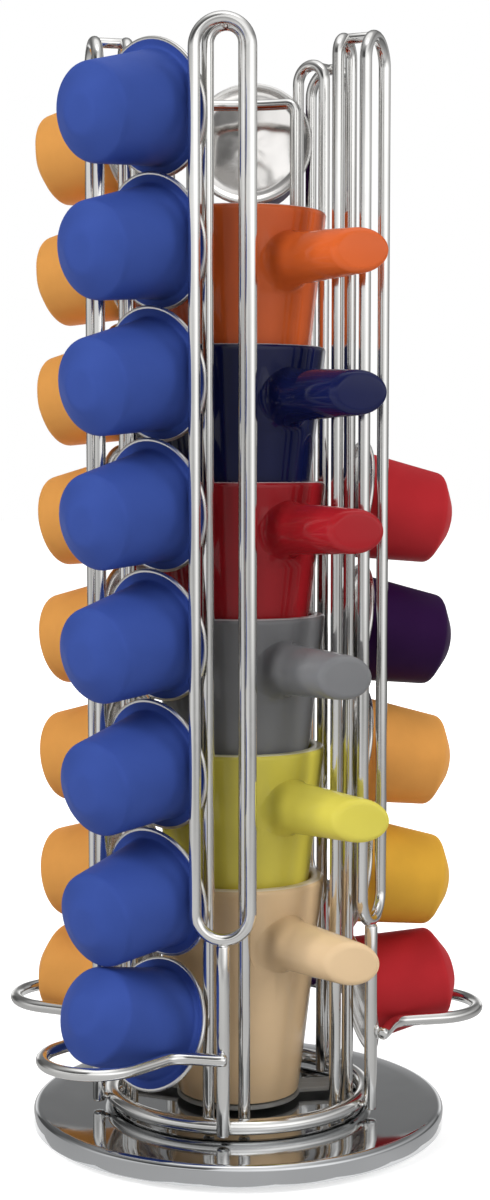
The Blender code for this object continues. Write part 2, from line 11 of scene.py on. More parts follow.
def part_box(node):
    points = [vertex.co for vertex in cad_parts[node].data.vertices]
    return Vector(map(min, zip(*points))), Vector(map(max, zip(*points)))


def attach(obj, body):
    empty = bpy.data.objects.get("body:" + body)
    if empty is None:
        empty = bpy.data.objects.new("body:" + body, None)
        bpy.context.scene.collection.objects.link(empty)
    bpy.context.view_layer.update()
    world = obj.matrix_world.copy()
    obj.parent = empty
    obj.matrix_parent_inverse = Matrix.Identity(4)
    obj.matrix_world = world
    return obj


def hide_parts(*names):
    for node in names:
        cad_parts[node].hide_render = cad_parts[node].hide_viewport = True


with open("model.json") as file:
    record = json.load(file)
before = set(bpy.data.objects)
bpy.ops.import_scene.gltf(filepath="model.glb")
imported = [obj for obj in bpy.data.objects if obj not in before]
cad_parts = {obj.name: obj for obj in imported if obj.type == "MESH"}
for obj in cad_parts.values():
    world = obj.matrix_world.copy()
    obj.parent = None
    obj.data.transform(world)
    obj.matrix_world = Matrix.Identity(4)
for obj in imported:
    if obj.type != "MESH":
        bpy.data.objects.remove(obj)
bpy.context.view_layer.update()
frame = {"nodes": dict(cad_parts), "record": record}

# Lengths of the object are in millimetres and become metres in its meshes
MM = 0.001
FIT_GAP = 0.3
UP = Vector((0, 0, 1))

# Rubber pad and mirror base
FOOT_RADIUS = 52.3
FOOT_THICKNESS = 1.4
FOOT_EDGE = 0.3
FOOT_EDGE_STEPS = 3
FOOT_SIDES = 96
BASE_RADIUS = 58.6
BASE_BOTTOM = 1.7
BASE_TOP = 7.6
BASE_EDGE = 1.8
BASE_EDGE_STEPS = 12
BASE_FOOT_EDGE = 0.4
BASE_FOOT_EDGE_STEPS = 4
BASE_RIM_WIDTH = 6.0
BASE_MIDDLE_RADIUS = 18.0
BASE_SIDES = 160
BORE_RADIUS = 3.08
COUNTERBORE_RADIUS = 7.0
COUNTERBORE_DEPTH = 3.0

# Washer and rivet; the rivet's dome is given by radius and height over its underside
WASHER_RADIUS = 10.0
WASHER_BOTTOM = 7.9
WASHER_TOP = 8.7
WASHER_EDGE = 0.2
WASHER_SIDES = 64
RIVET_RADIUS = 3.0
RIVET_TAIL_RADIUS = 4.5
RIVET_TAIL_BOTTOM = 2.9
RIVET_TAIL_TOP = 4.4
RIVET_TAIL_EDGE = 0.3
RIVET_HEAD_BOTTOM = 10.5
RIVET_DOME = ((5.3, 0), (5.5, 0.2), (5.4, 0.7), (4.6, 1.1), (3.2, 1.35), (0, 1.4))
RIVET_SIDES = 48

# Hub plate
HUB_BOTTOM = 9.0
HUB_TOP = 10.2
HUB_RADIUS = 17.6
HUB_ARM_WIDTH = 9.5
HUB_EDGE = 0.25
HUB_EDGE_STEPS = 2
HUB_TIP_STEPS = 6
HUB_ROUND_STEPS = 24
HOLE_OVERRUN = 4.0

# Frame wires, each with its own radius
WIRE_SIDES = 20
WIRE_BEND_STEPS = 24
RING_RADIUS = 36.1
RING_WIRE = 2.2
RING_HEIGHT = 10.5
RING_STEPS = 144
POST_RADIUS = 40.4
POST_WIRE = 1.8
POST_BOTTOM = 9.0
POST_SINK = 0.6
POST_SHARES = (0, 0.25, 0.5, 0.75, 1)
LOOP_WIRE = 1.65
LOOP_TOP = 304.0
OUTER_BOTTOM = 62.8
OUTER_HALF = 7.4
INNER_HALF = 4.85
INNER_WIRE_REACH = 31.95
INNER_RADIUS = math.sqrt(INNER_WIRE_REACH ** 2 - INNER_HALF ** 2)
INNER_LEG_BOTTOM = 8.6
SPACER_WIRE = 1.4
SPACER_SIDES = 16

# Cross wire between the two stations at the back
BRIDGE_WIRE = 1.6
BRIDGE_HEIGHT = 293.2
BRIDGE_LEG = 45.5
BRIDGE_CORNER = 2.6
BRIDGE_CORNER_STEPS = 10
BRIDGE_INSET = 3.5
BRIDGE_BEND = math.radians(14)

# Stop wire under the capsules
STOP_WIRE = 1.7
STOP_HEIGHT = 31.2
STOP_HALF = 14.6
STOP_START = 45.6
STOP_END = 56.4
STOP_RADIUS = 44.2
STOP_POST_EASE = 5.7
STOP_SIDE_EASE = 4.8
STOP_OVERSHOOT = 1.5
STOP_SIDE_STEPS = 14
STOP_LOBE_STEPS = 28

# Ends of the wires and welds between them, as shares of their length and radius
WIRE_END_SHARES = ((0, 0.5), (0.15, 0.86), (0.5, 1.0))
WELD_SHARES = (-0.9, -0.7, -0.4, 0, 0.4, 0.7, 0.9)
WELD_RIPPLE_SHARE = 0.06
WELD_RIPPLES = 9
WELD_SIDES = 12
WELD_STAND_OFF = 0.1
UPRIGHT_WELD_LENGTH = 2.2
UPRIGHT_WELD_RADIUS = 0.85
FLAT_WELD_LENGTH = 1.9
FLAT_WELD_RADIUS = 0.8

# Capsules: outlines by radius and height over the lid, the rolled rim, and the folds of the foil
CAPSULE_SIDES = 56
FOIL_OUTLINE = ((0, 0.05), (4, 0.11), (7.5, 0.27), (10.5, 0.51), (13, 0.78), (14.3, 0.90), (15.1, 0.88),
                (15.8, 0.72), (16.5, 0.56))
FLANGE_RADIUS = 17.1
FLANGE_HEIGHT = 0.10
ROLL_CENTRE = (17.82, 0.66)
ROLL_RADIUS = 0.62
ROLL_ANGLES = (240, 440)
ROLL_STEPS = 11
COLLAR_OUTLINE = ((17.62, 1.25), (17.1, 1.16), (16.2, 1.08), (15.72, 1.14), (15.42, 1.36), (15.26, 1.8),
                  (15.14, 2.5), (14.98, 3.3))
WALL_OUTLINE = ((14.84, 4.8), (14.40, 9.4), (13.94, 14.1), (13.50, 18.7), (13.12, 22.8))
NOSE_OUTLINE = ((13.02, 23.7), (12.84, 24.3), (12.50, 24.8), (12.00, 25.22), (9.6, 26.62), (7.3, 27.92),
                (6.3, 28.45), (5.4, 28.82), (4.4, 28.98), (2.4, 29.04), (0, 29.05))

# Each set of folds by its number, twist per millimetre and weight
FOLD_WAVES = ((5, 0.7, 1.0), (9, -1.3, 0.7))
FOLD_HEIGHT = 0.05
FOLD_LIFT = 1.7
FOLD_REACH = 16.7
FOLDED_RADIUS = 16.4
FOLDED_HEIGHT = 0.95
SAME_POINT_DIGITS = 7
LID_END_SHARE = 0.9

# Cups: outlines of the foot by inset and height, and turns of the lip by start, end and steps
CUP_HEIGHT = 62.0
CUP_RIM = 24.6
CUP_FOOT = 17.3
CUP_WALL = 3.99
CUP_FLOOR = 5.7
CUP_SLOPE = (CUP_RIM - CUP_FOOT) / CUP_HEIGHT
CUP_SIDES = 112
CUP_RING_WIDTH = 3.0
CUP_RECESS = 2.2
CUP_COVE = ((2.4, 2.2), (1.2, 1.6))
CUP_RING_EDGE = ((0.3, 0.25), (0, 0))
CUP_FOOT_EDGE = (0.7, 0.0)
CUP_FOOT_CORNER = (0.25, 0.12)
CUP_OUTSIDE_HEIGHTS = (0.9, 8, 18, 28, 38, 48, 56, 60.2)
CUP_INSIDE_HEIGHTS = (56, 46, 34, 22, 12)
CUP_LIP = 1.15
CUP_LIP_OUTSIDE = (15, 45, 2)
CUP_LIP_TOP_OUTSIDE = (50, 90, 4)
CUP_LIP_TOP_INSIDE = (90, 130, 4)
CUP_LIP_INSIDE = (135, 165, 2)
CUP_FILLET = 3.2
CUP_FILLET_STEPS = 6
CUP_FILLET_LEAN = 0.5

# Peg handles: azimuth in degrees and depth under the rim for each cup, from the bottom of the stack
HANDLE_NECK = 7.0
HANDLE_NECK_LENGTH = 5.7
HANDLE_TIP = 5.9
HANDLE_REACH = 53.0
HANDLE_OVERRUN = 14.0
HANDLE_ROOT_DEPTH = 2.6
HANDLE_SPREAD = 11.0
HANDLE_SPREAD_STEPS = 12
HANDLE_END_EASE = 1.7
HANDLE_END_STEPS = 6
HANDLE_SIDES = 48
HANDLES = {
    "cup_beige": (35.9, 15.7),
    "cup_lime": (39.0, 14.9),
    "cup_grey": (32.8, 13.7),
    "cup_red": (36.5, 12.7),
    "cup_navy": (37.4, 13.8),
    "cup_orange": (37.7, 14.4),
}

# Wire stations and the capsule columns between them
FRONT_AZIMUTH = math.radians(-5.87)
STATIONS = ("front", "right", "back_right", "back_left", "left")
PITCH = 2 * math.pi / len(STATIONS)
COLUMN_AFTER = {"right": 1, "back": 2, "gold": 3, "blue": 4}

# Camera at the photograph's viewing angle
CAMERA_DISTANCE = 569.99
CAMERA_HEIGHT = 189.31
CAMERA_TILT = math.radians(4.255)
SENSOR_HEIGHT = 36
FOCAL_LENGTH = 60.575
LENS_SHIFT_X = 0.0055
LENS_SHIFT_Y = 0.0116
CLIP_START = 0.01

# Stage in metres: floor, the glow that whitens it away from the object, and the fill light
FLOOR_HALF = 6
FLOOR_DROP = 0.00005
FLOOR_TONE = 0.60
FLOOR_ROUGHNESS = 0.9
GLOW_NEAR = 0.10
GLOW_FAR = 0.90
GLOW_AT_OBJECT = 0.55
GLOW_AWAY = 1.0
FILL_STRENGTH = 0.20
WHITE_STRENGTH = 1.0

# Softboxes: azimuth, elevation, distance, width, height and power, aimed at the object's middle
AIM_HEIGHT = 0.15
SOFTBOXES = {
    "key": (-54, 34, 1.5, 0.8, 0.8, 20.5),
    "front": (26, 18, 1.5, 0.7, 0.7, 4.5),
    "fill": (84, 26, 1.6, 0.7, 0.9, 16),
    "back": (178, 45, 1.5, 1.0, 1.0, 14),
}

# Studio surroundings as reflections see them, with their azimuths in degrees
ROOM_AZIMUTHS = (-180, -150, -142, -120, -108, -92, -75, -44, -18, -10,
                 10, 28, 48, 65, 85, 105, 120, 142, 150, 180)

# Each row's distance from the axis, height and greys, from the floor round the object to the ceiling
ROOM_ROWS = (
    (0.062, 0.0006, (0.60, 0.60, 0.50, 0.50, 0.50, 0.50, 0.50, 0.55, 0.60, 0.60,
                     0.60, 0.60, 0.60, 0.50, 0.50, 0.50, 0.50, 0.50, 0.60, 0.60)),
    (0.30, 0.0008, (0.80, 0.80, 0.30, 0.30, 0.40, 0.50, 0.60, 0.70, 0.70, 0.70,
                    0.70, 0.60, 0.50, 0.40, 0.30, 0.25, 0.25, 0.30, 0.80, 0.80)),
    (0.90, 0.0010, (1.00, 1.00, 0.20, 0.20, 0.35, 0.60, 0.90, 0.85, 0.42, 0.32,
                    0.36, 0.52, 0.58, 0.42, 0.30, 0.20, 0.20, 0.20, 1.00, 1.00)),
    (1.80, 0.0020, (1.00, 1.00, 0.10, 0.10, 0.30, 0.50, 0.65, 0.50, 0.45, 0.55,
                    0.80, 1.10, 1.00, 0.65, 0.35, 0.20, 0.10, 0.10, 1.00, 1.00)),
    (1.80, 0.25, (1.00, 1.00, 0.10, 0.10, 0.30, 0.60, 0.80, 0.60, 0.50, 0.60,
                  0.90, 1.30, 1.30, 0.85, 0.50, 0.30, 0.20, 0.15, 1.00, 1.00)),
    (1.80, 0.55, (0.24, 0.24, 0.10, 0.10, 0.30, 0.60, 0.90, 1.00, 1.10, 1.30,
                  1.50, 1.60, 1.50, 1.20, 0.80, 0.60, 0.50, 0.40, 0.24, 0.24)),
    (1.80, 0.90, (0.17, 0.17, 0.15, 0.15, 0.25, 0.30, 0.15, 0.06, 0.08, 1.10,
                  1.20, 1.50, 1.20, 0.80, 0.60, 0.50, 0.40, 0.30, 0.17, 0.17)),
    (1.70, 1.30, (0.15, 0.15, 0.15, 0.15, 0.25, 0.25, 0.15, 0.06, 0.12, 1.10,
                  1.20, 0.90, 0.60, 0.40, 0.30, 0.25, 0.20, 0.20, 0.15, 0.15)),
    (1.20, 1.90, (0.50, 0.50, 0.50, 0.50, 0.55, 0.55, 0.50, 0.45, 0.42, 0.60,
                  0.80, 1.00, 0.90, 0.60, 0.60, 0.55, 0.50, 0.50, 0.50, 0.50)),
    (0.84, 2.13, (1.10, 1.10, 1.10, 1.10, 1.10, 1.10, 1.10, 1.60, 2.20, 2.40,
                  2.40, 2.20, 1.60, 1.10, 1.10, 1.10, 1.10, 1.10, 1.10, 1.10)),
    (0.01, 2.40, (1.20,) * len(ROOM_AZIMUTHS)),
)


# Places round the tower


def station(name):
    """Azimuth of a wire station."""
    return FRONT_AZIMUTH + STATIONS.index(name) * PITCH


def column(name):
    """Azimuth of a capsule column, halfway between two stations."""
    return FRONT_AZIMUTH + (COLUMN_AFTER[name] + 0.5) * PITCH


def outward(azimuth):
    """Level direction away from the axis; azimuth 0 is the front and a quarter turn the right."""
    return Vector((math.sin(azimuth), -math.cos(azimuth), 0))


def sideways(azimuth):
    """Level direction across outward, towards rising azimuths."""
    return Vector((math.cos(azimuth), math.sin(azimuth), 0))


def place(azimuth, distance, offset, height):
    """Point at a distance along an azimuth, offset sideways."""
    return outward(azimuth) * distance + sideways(azimuth) * offset + Vector((0, 0, height))


def fan(start, end, radius, steps):
    """Points round the tower's axis from one azimuth to another."""
    return [outward(start + (end - start) * step / steps) * radius for step in range(steps + 1)]


def arc(centre, first, second, radius, start, end, steps):
    """Points of an arc in the plane of two directions, its angles counted from the first."""
    points = []
    for step in range(steps + 1):
        angle = start + (end - start) * step / steps
        points.append(centre + (first * math.cos(angle) + second * math.sin(angle)) * radius)
    return points


def eased(start, start_way, end, end_way, steps):
    """Cubic between two points, each with its leaving vector."""
    first, second = start + start_way, end - end_way
    points = []
    for step in range(steps + 1):
        share = step / steps
        rest = 1 - share
        points.append(start * rest ** 3 + first * (3 * rest * rest * share)
                      + second * (3 * rest * share * share) + end * share ** 3)
    return points


# Materials

# Middle values of a noise texture, which drift from one end of a range to the other
NOISE_MIDDLE = (0.3, 0.7)
TONE_DETAIL = 5.0
WEAR_DETAIL = 6.0
WEAR_SCALE_SHARE = 2.7
WAVE_DETAIL = 1.5
GRAIN_DETAIL = 3.0


def noise(tree, space, scale, detail):
    """Noise in features per millimetre."""
    node = tree.nodes.new("ShaderNodeTexNoise")
    node.inputs["Scale"].default_value = scale / MM
    node.inputs["Detail"].default_value = detail
    tree.links.new(space, node.inputs["Vector"])
    return node.outputs["Fac"]


def ramp(tree, value, colours):
    """Blend between two colours over a texture's middle values."""
    node = tree.nodes.new("ShaderNodeValToRGB")
    for element, position, colour in zip(node.color_ramp.elements, NOISE_MIDDLE, colours):
        element.position = position
        element.color = (*colour, 1)
    tree.links.new(value, node.inputs["Fac"])
    return node.outputs["Color"]


def mapped(tree, value, source, target):
    """Value moved from one range to another, and held within it."""
    node = tree.nodes.new("ShaderNodeMapRange")
    for side, (low, high) in (("From", source), ("To", target)):
        node.inputs[side + " Min"].default_value = low
        node.inputs[side + " Max"].default_value = high
    tree.links.new(value, node.inputs["Value"])
    return node.outputs["Result"]


def bump(tree, height, strength, depth, below=None):
    """Surface direction changed by a height in millimetres, over another bump if there is one."""
    node = tree.nodes.new("ShaderNodeBump")
    node.inputs["Strength"].default_value = strength
    node.inputs["Distance"].default_value = depth * MM
    tree.links.new(height, node.inputs["Height"])
    if below:
        tree.links.new(below, node.inputs["Normal"])
    return node.outputs["Normal"]


def surface(name, colour, metallic, rough, tone, grain, wave=None, stretch=None, specular=None):
    """Material whose tone and roughness drift over it, under a fine grain and sometimes a slow wave.

    rough is a range of roughness; tone is a share of the colour and features per millimetre; grain
    and wave are features per millimetre, strength and depth in millimetres.
    """
    made = bpy.data.materials.new(name)
    made.use_nodes = True
    tree = made.node_tree
    shader = tree.nodes["Principled BSDF"]
    space = tree.nodes.new("ShaderNodeTexCoord").outputs["Object"]
    if stretch:
        mapping = tree.nodes.new("ShaderNodeMapping")
        mapping.inputs["Scale"].default_value = stretch
        tree.links.new(space, mapping.inputs["Vector"])
        space = mapping.outputs["Vector"]
    tone_share, tone_scale = tone
    tints = [[min(1, channel * share) for channel in colour] for share in (1 - tone_share, 1 + tone_share)]
    drift = noise(tree, space, tone_scale, TONE_DETAIL)
    tree.links.new(ramp(tree, drift, tints), shader.inputs["Base Color"])
    wear = noise(tree, space, tone_scale * WEAR_SCALE_SHARE, WEAR_DETAIL)
    tree.links.new(mapped(tree, wear, NOISE_MIDDLE, rough), shader.inputs["Roughness"])
    below = None
    if wave:
        scale, strength, depth = wave
        below = bump(tree, noise(tree, space, scale, WAVE_DETAIL), strength, depth)
    scale, strength, depth = grain
    fine = bump(tree, noise(tree, space, scale, GRAIN_DETAIL), strength, depth, below)
    tree.links.new(fine, shader.inputs["Normal"])
    shader.inputs["Metallic"].default_value = metallic
    if specular:
        shader.inputs["Specular IOR Level"].default_value = specular
    return made


MATERIALS = {
    "chrome": surface("chrome", (0.75, 0.745, 0.73), 1.0, (0.08, 0.16), (0.04, 0.06), (0.2, 0.02, 0.01)),
    "base_chrome": surface("base_chrome", (0.56, 0.57, 0.58), 1.0, (0.04, 0.09), (0.04, 0.03),
                           (0.5, 0.03, 0.01)),
    "zinc": surface("zinc", (0.36, 0.355, 0.34), 0.6, (0.42, 0.58), (0.10, 0.15), (1.2, 0.25, 0.03),
                    stretch=(1, 6, 1)),
    "silver": surface("silver", (0.74, 0.73, 0.71), 1.0, (0.24, 0.36), (0.05, 0.12), (0.8, 0.12, 0.02)),
    "foil": surface("foil", (0.84, 0.82, 0.80), 1.0, (0.11, 0.20), (0.06, 0.05), (0.5, 0.10, 0.03),
                    wave=(0.11, 0.35, 0.35)),
    "nylon": surface("nylon", (0.80, 0.80, 0.76), 0.0, (0.40, 0.55), (0.05, 0.10), (1.5, 0.15, 0.03)),
    "rubber": surface("rubber", (0.035, 0.035, 0.037), 0.0, (0.70, 0.90), (0.20, 0.20), (1.6, 0.5, 0.08)),
    "bisque": surface("bisque", (0.72, 0.68, 0.61), 0.0, (0.55, 0.75), (0.08, 0.20), (1.8, 0.35, 0.05)),
}
ANODISED = {
    "capsule_blue": (0.041, 0.080, 0.325),
    "capsule_gold": (0.700, 0.320, 0.078),
    "capsule_purple": (0.022, 0.004, 0.038),
    "capsule_red": (0.430, 0.022, 0.028),
    "capsule_yellow": (0.680, 0.370, 0.045),
}
GLAZES = {
    "cup_orange": (0.600, 0.110, 0.023),
    "cup_navy": (0.006, 0.009, 0.054),
    "cup_red": (0.325, 0.012, 0.017),
    "cup_grey": (0.168, 0.170, 0.176),
    "cup_lime": (0.640, 0.560, 0.085),
    "cup_beige": (0.700, 0.505, 0.300),
}
LIP_TINT_SHARE = 0.50
LIP_PALENESS = 0.36


def anodised(name, tint):
    """Satin coloured aluminium."""
    return surface(name, tint, 0.25, (0.50, 0.60), (0.08, 0.06), (1.3, 0.16, 0.03),
                   wave=(0.05, 0.10, 0.12), specular=0.10)


def glaze(name, tint):
    """Glossy glaze, a little uneven."""
    return surface(name + "_glaze", tint, 0.0, (0.05, 0.10), (0.08, 0.025), (0.9, 0.03, 0.01),
                   wave=(0.045, 0.30, 0.4), specular=0.26)


def lip(name, tint):
    """Paler glaze for the top of a cup's lip."""
    pale = [LIP_TINT_SHARE * channel + LIP_PALENESS for channel in tint]
    return surface(name + "_lip", pale, 0.0, (0.14, 0.24), (0.12, 0.09), (0.9, 0.05, 0.01))


for slot_name, slot_tint in ANODISED.items():
    MATERIALS[slot_name] = anodised(slot_name, slot_tint)
for cup_name, cup_tint in GLAZES.items():
    MATERIALS[cup_name] = glaze(cup_name, cup_tint)
    MATERIALS[cup_name + "_lip"] = lip(cup_name, cup_tint)


# Meshes

# Edges sharper than this many degrees stay sharp
SHARP_ANGLE = 40.0
WIRE_SHARP_ANGLE = 50.0
WELD_SHARP_ANGLE = 70.0
CAPSULE_SHARP_ANGLE = 45.0
CUP_SHARP_ANGLE = 50.0


def shade(mesh, sharp_angle=SHARP_ANGLE):
    """Faces turned outwards, smooth except at sharp edges."""
    work = bmesh.new()
    work.from_mesh(mesh)
    bmesh.ops.recalc_face_normals(work, faces=work.faces)
    work.to_mesh(mesh)
    work.free()
    mesh.shade_smooth()
    mesh.set_sharp_from_angle(angle=math.radians(sharp_angle))
    return mesh


def to_mesh(name, points, faces, materials, sharp_angle):
    """Mesh from points in millimetres; each face carries its material index."""
    mesh = bpy.data.meshes.new(name)
    mesh.from_pydata([Vector(point) * MM for point in points], [], [face for face, _ in faces])
    for polygon, (_, index) in zip(mesh.polygons, faces):
        polygon.material_index = index
    for material in materials:
        mesh.materials.append(MATERIALS[material])
    return shade(mesh, sharp_angle)


def straight(points, index=0):
    """Corners of a turned profile, with the material index of the faces that follow them."""
    return [(radius, height, index) for radius, height in points]


def rounding(centre_radius, centre_height, radius, start, end, steps, index=0):
    """Round stretch of a turned profile, its angles in degrees."""
    points = []
    for step in range(steps + 1):
        angle = math.radians(start + (end - start) * step / steps)
        across, up = math.cos(angle), math.sin(angle)
        points.append((centre_radius + radius * across, centre_height + radius * up, index))
    return points


def lathe(name, profile, sides, materials, sharp_angle=SHARP_ANGLE):
    """Turned solid from a profile that starts and ends on the axis, or runs all round."""
    points, rings, faces = [], [], []
    for radius, height, _ in profile:
        count = 1 if radius == 0 else sides
        rings.append([len(points) + step for step in range(count)])
        for step in range(count):
            angle = 2 * math.pi * step / sides
            points.append((radius * math.cos(angle), radius * math.sin(angle), height))
    pairs = [(low, high, point[2]) for low, high, point in zip(rings, rings[1:], profile)]
    if profile[0][0] > 0:
        pairs.append((rings[-1], rings[0], profile[-1][2]))
    for low, high, index in pairs:
        for step in range(sides):
            after = (step + 1) % sides
            corners = [low[step % len(low)], low[after % len(low)],
                       high[after % len(high)], high[step % len(high)]]
            faces.append((list(dict.fromkeys(corners)), index))
    return to_mesh(name, points, faces, materials, sharp_angle)


def sweep(name, line, radius, sides, closed):
    """Round chromed wire along points, with eased ends unless closed."""
    count = len(line)
    tangents = []
    for index, point in enumerate(line):
        before = line[index - 1] if closed or index > 0 else point
        after = line[(index + 1) % count] if closed or index < count - 1 else point
        tangents.append(((point - before).normalized() + (after - point).normalized()).normalized())
    stations = [(point, tangent, radius) for point, tangent in zip(line, tangents)]
    if not closed:
        for end, sign in ((0, 1), (-1, -1)):
            point, tangent, _ = stations[end]
            tip = [(point + tangent * (sign * radius * along), tangent, radius * across)
                   for along, across in WIRE_END_SHARES]
            stations = tip + stations[1:] if end == 0 else stations[:-1] + tip[::-1]
    side = stations[0][1].orthogonal().normalized()
    points, rings, faces = [], [], []
    for point, tangent, reach in stations:
        side = (side - tangent * side.dot(tangent)).normalized()
        up = tangent.cross(side)
        rings.append([len(points) + step for step in range(sides)])
        for step in range(sides):
            angle = 2 * math.pi * step / sides
            points.append(point + (side * math.cos(angle) + up * math.sin(angle)) * reach)
    pairs = list(zip(rings, rings[1:]))
    if closed:
        pairs.append((rings[-1], rings[0]))
    for near, far in pairs:
        for step in range(sides):
            after = (step + 1) % sides
            faces.append(([near[step], near[after], far[after], far[step]], 0))
    if not closed:
        faces += [(rings[0], 0), (rings[-1], 0)]
    return to_mesh(name, points, faces, ["chrome"], WIRE_SHARP_ANGLE)


def joined(mesh, tool, name, operation, sharp_angle=SHARP_ANGLE):
    """Exact boolean of two meshes."""
    target = bpy.data.objects.new("target", mesh)
    cutter = bpy.data.objects.new("cutter", tool)
    for item in (target, cutter):
        bpy.context.scene.collection.objects.link(item)
    modifier = target.modifiers.new("boolean", 'BOOLEAN')
    modifier.operation = operation
    modifier.solver = 'EXACT'
    modifier.object = cutter
    evaluated = target.evaluated_get(bpy.context.evaluated_depsgraph_get())
    result = bpy.data.meshes.new_from_object(evaluated)
    for item in (target, cutter):
        bpy.data.objects.remove(item)
    result.name = name
    return shade(result, sharp_angle)


def piece(name, mesh, body, stands_for, matrix=None):
    """Add a mesh to the scene, riding on a CAD body in place of the nodes that it stands for."""
    item = bpy.data.objects.new(name, mesh)
    bpy.context.scene.collection.objects.link(item)
    if matrix:
        item.matrix_world = matrix
    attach(item, body)
    if stands_for:
        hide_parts(*stands_for)


def turned(name, profile, sides, material, node):
    """Turned piece of the base, in one material."""
    piece(name, lathe(name, profile, sides, [material]), "base", [node])


def wire(name, line, radius, node=None, closed=False, sides=WIRE_SIDES):
    """Wire of the tower."""
    piece(name, sweep(name, line, radius, sides, closed), "tower", [node] if node else [])


# Base and turntable


def make_foot():
    """Pad under the base, its edges eased."""
    edge = FOOT_RADIUS - FOOT_EDGE
    profile = straight([(0, 0)])
    profile += rounding(edge, FOOT_EDGE, FOOT_EDGE, -90, 0, FOOT_EDGE_STEPS)
    profile += rounding(edge, FOOT_THICKNESS - FOOT_EDGE, FOOT_EDGE, 0, 90, FOOT_EDGE_STEPS)
    profile += straight([(0, FOOT_THICKNESS)])
    turned("rubber_pad", profile, FOOT_SIDES, "rubber", "foot_pad")


def make_base():
    """Base plate with its counterbore, its upper edge well rounded."""
    counterbore_top = BASE_BOTTOM + COUNTERBORE_DEPTH
    profile = straight([(BORE_RADIUS, counterbore_top), (COUNTERBORE_RADIUS, counterbore_top),
                        (COUNTERBORE_RADIUS, BASE_BOTTOM)])
    profile += rounding(BASE_RADIUS - BASE_FOOT_EDGE, BASE_BOTTOM + BASE_FOOT_EDGE, BASE_FOOT_EDGE,
                        -90, 0, BASE_FOOT_EDGE_STEPS)
    profile += rounding(BASE_RADIUS - BASE_EDGE, BASE_TOP - BASE_EDGE, BASE_EDGE, 0, 90, BASE_EDGE_STEPS)
    profile += straight([(BASE_RADIUS - BASE_RIM_WIDTH, BASE_TOP), (BASE_MIDDLE_RADIUS, BASE_TOP),
                         (BORE_RADIUS, BASE_TOP)])
    turned("mirror_base", profile, BASE_SIDES, "base_chrome", "base_disc")


def make_washer():
    """Washer between base and hub plate, its edges cut at an angle."""
    edge = WASHER_RADIUS - WASHER_EDGE
    profile = straight([(BORE_RADIUS, WASHER_BOTTOM), (edge, WASHER_BOTTOM),
                        (WASHER_RADIUS, WASHER_BOTTOM + WASHER_EDGE),
                        (WASHER_RADIUS, WASHER_TOP - WASHER_EDGE),
                        (edge, WASHER_TOP), (BORE_RADIUS, WASHER_TOP)])
    turned("nylon_washer", profile, WASHER_SIDES, "nylon", "bearing_washer")


def make_rivet():
    """Rivet through base and hub plate, with a domed head."""
    edge = RIVET_TAIL_RADIUS - RIVET_TAIL_EDGE
    profile = straight([(0, RIVET_TAIL_BOTTOM), (edge, RIVET_TAIL_BOTTOM),
                        (RIVET_TAIL_RADIUS, RIVET_TAIL_BOTTOM + RIVET_TAIL_EDGE),
                        (RIVET_TAIL_RADIUS, RIVET_TAIL_TOP - RIVET_TAIL_EDGE),
                        (edge, RIVET_TAIL_TOP), (RIVET_RADIUS, RIVET_TAIL_TOP),
                        (RIVET_RADIUS, RIVET_HEAD_BOTTOM)])
    profile += straight([(radius, RIVET_HEAD_BOTTOM + height) for radius, height in RIVET_DOME])
    turned("rivet", profile, RIVET_SIDES, "zinc", "pivot_rivet")


def hub_outline():
    """Round plate with three arms that reach the ring."""
    reach = RING_RADIUS - RING_WIRE - FIT_GAP
    root_angle = math.asin(HUB_ARM_WIDTH / 2 / HUB_RADIUS)
    tip_angle = math.asin(HUB_ARM_WIDTH / 2 / reach)
    arms = sorted(column(name) % (2 * math.pi) for name in ("right", "back", "gold"))
    outline = []
    for azimuth, following in zip(arms, arms[1:] + [arms[0] + 2 * math.pi]):
        outline += fan(azimuth - tip_angle, azimuth + tip_angle, reach, HUB_TIP_STEPS)
        outline += fan(azimuth + root_angle, following - root_angle, HUB_RADIUS, HUB_ROUND_STEPS)
    return outline


def make_hub():
    """Hub plate, its edges eased and its middle bored."""
    work = bmesh.new()
    bottom = Vector((0, 0, HUB_BOTTOM))
    face = work.faces.new([work.verts.new((point + bottom) * MM) for point in hub_outline()])
    corners = len(face.verts)
    grown = bmesh.ops.extrude_face_region(work, geom=[face])
    raised = [item for item in grown["geom"] if isinstance(item, bmesh.types.BMVert)]
    bmesh.ops.translate(work, verts=raised, vec=(0, 0, (HUB_TOP - HUB_BOTTOM) * MM))
    rim = [edge for edge in work.edges if any(len(flat.verts) == corners for flat in edge.link_faces)]
    bmesh.ops.bevel(work, geom=rim, offset=HUB_EDGE * MM, segments=HUB_EDGE_STEPS, affect='EDGES')
    mesh = bpy.data.meshes.new("hub")
    work.to_mesh(mesh)
    work.free()
    mesh.materials.append(MATERIALS["zinc"])
    low, high = HUB_BOTTOM - HOLE_OVERRUN, HUB_TOP + HOLE_OVERRUN
    bore = straight([(0, low), (BORE_RADIUS, low), (BORE_RADIUS, high), (0, high)])
    hole = lathe("hub_hole", bore, RIVET_SIDES, ["zinc"])
    plate = joined(shade(mesh), hole, "hub_spider", 'DIFFERENCE')
    piece("hub_spider", plate, "tower", ["hub_plate"])


# Wire frame


def make_ring():
    """Closed bottom ring that the posts and inner loops are welded to."""
    circle = arc(UP * RING_HEIGHT, Vector((1, 0, 0)), Vector((0, 1, 0)), RING_RADIUS,
                 0, 2 * math.pi, RING_STEPS)
    wire("ring", circle[:-1], RING_WIRE, "base_ring", closed=True)


